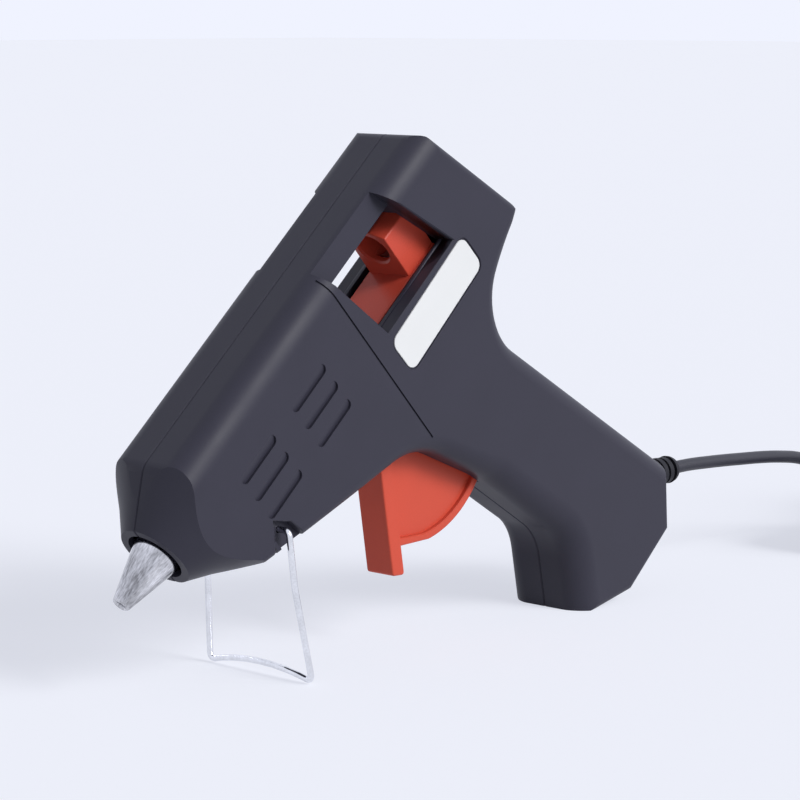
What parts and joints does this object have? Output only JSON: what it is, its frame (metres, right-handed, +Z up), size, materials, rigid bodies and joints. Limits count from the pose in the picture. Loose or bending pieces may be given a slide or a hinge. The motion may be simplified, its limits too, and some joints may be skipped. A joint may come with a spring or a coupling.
{
  "type": "glue gun",
  "caption": "Small hot melt glue gun with a conical metal nozzle, finger trigger, feed window, fold-out wire stand and a mains lead with a moulded plug.",
  "frame": {"origin": "on the floor, under the middle of the gun standing on its wire stand and the toe of its handle, with the free cord left out", "axes": "+X from the nozzle to the cord end, +Y across the gun to its right half, +Z up"},
  "size_m": [0.3623, 0.0485, 0.1231],
  "materials": {
    "casing": "fine satin texture, charcoal",
    "screw_steel": "zinc plated",
    "label": "blank white label, satin",
    "nozzle_metal": "turned, bright",
    "bright_steel": "ground",
    "spring_steel": "plain",
    "chamber_metal": "cast, matt",
    "heater_ceramic": "sintered ceramic, matt",
    "electrode_brass": "rolled",
    "amber_film": "polyimide film",
    "silicone": "red silicone, satin",
    "guide_plastic": "moulded",
    "carriage_plastic": "orange red, moulded, satin",
    "trigger_plastic": "orange red, satin gloss",
    "stand_wire": "bright zinc wire",
    "lead_sleeving": "glass fibre sleeving",
    "cord_rubber": "black PVC, satin",
    "relief_rubber": "black PVC, matt",
    "tie_strap": "hook and loop strap",
    "plug_plastic": "moulded, satin",
    "plug_metal": "nickel plated"
  },
  "bodies": {
    "casing": {"left_shell": "casing", "right_shell": "casing", "shell_screws": "screw_steel", "rating_label": "label", "nozzle": "nozzle_metal", "valve_spring": "spring_steel", "heating_chamber": "chamber_metal", "heater_element": "heater_ceramic", "heater_electrodes": "electrode_brass", "heater_insulation": "amber_film", "heater_clip": "spring_steel", "chamber_front_ring": "silicone", "chamber_rear_ring": "silicone", "stick_sleeve": "silicone", "sleeve_clamp": "spring_steel", "stick_guide": "guide_plastic", "trigger_pin": "bright_steel", "return_spring": "spring_steel", "heater_leads": "lead_sleeving", "crimp_sleeves": "spring_steel", "cord_tail": "cord_rubber", "cord_clamp": "guide_plastic", "clamp_screws": "screw_steel", "strain_relief": "relief_rubber", "cord": "cord_rubber", "cord_coil": "cord_rubber", "cord_tie": "tie_strap", "plug_body": "plug_plastic", "plug_pins": "plug_metal"},
    "trigger": {"trigger": "trigger_plastic", "drive_pin": "bright_steel"},
    "carriage": {"feed_carriage": "carriage_plastic", "jaw_pin": "bright_steel"},
    "jaw": {"grip_jaw": "spring_steel"},
    "stand": {"stand_wire": "stand_wire"},
    "valve": {"valve_ball": "bright_steel"}
  },
  "joints": [
    {"name": "trigger_pull", "type": "hinge", "parent": "casing", "child": "trigger", "pos_m": [-0.00859, 0, 0.05265], "axis": [0, -1, 0], "range_deg": [0, 22], "stiffness_Nm_per_rad": 0.06, "springref_deg": -28.65, "deforming": ["return_spring"]},
    {"name": "carriage_feed", "type": "slide", "parent": "casing", "child": "carriage", "axis": [-0.7372, 0, -0.6756], "range_m": [0, 0.0094]},
    {"name": "jaw_grip", "type": "hinge", "parent": "carriage", "child": "jaw", "pos_m": [-0.00745, 0, 0.09507], "axis": [0, 1, 0], "range_deg": [0, 9]},
    {"name": "stand_fold", "type": "hinge", "parent": "casing", "child": "stand", "pos_m": [-0.05937, 0, 0.03583], "axis": [0, 1, 0], "range_deg": [0, 60]},
    {"name": "valve_lift", "type": "slide", "parent": "casing", "child": "valve", "axis": [-0.7372, 0, -0.6756], "range_m": [0, 0.001], "stiffness_N_per_m": 80, "springref_m": -0.002, "deforming": ["valve_spring"]}
  ],
  "couplings": [
    {"joint": "carriage_feed", "follows": "trigger_pull", "m_per_rad": 0.02435},
    {"joint": "jaw_grip", "follows": "trigger_pull", "ratio": 0.4}
  ]
}
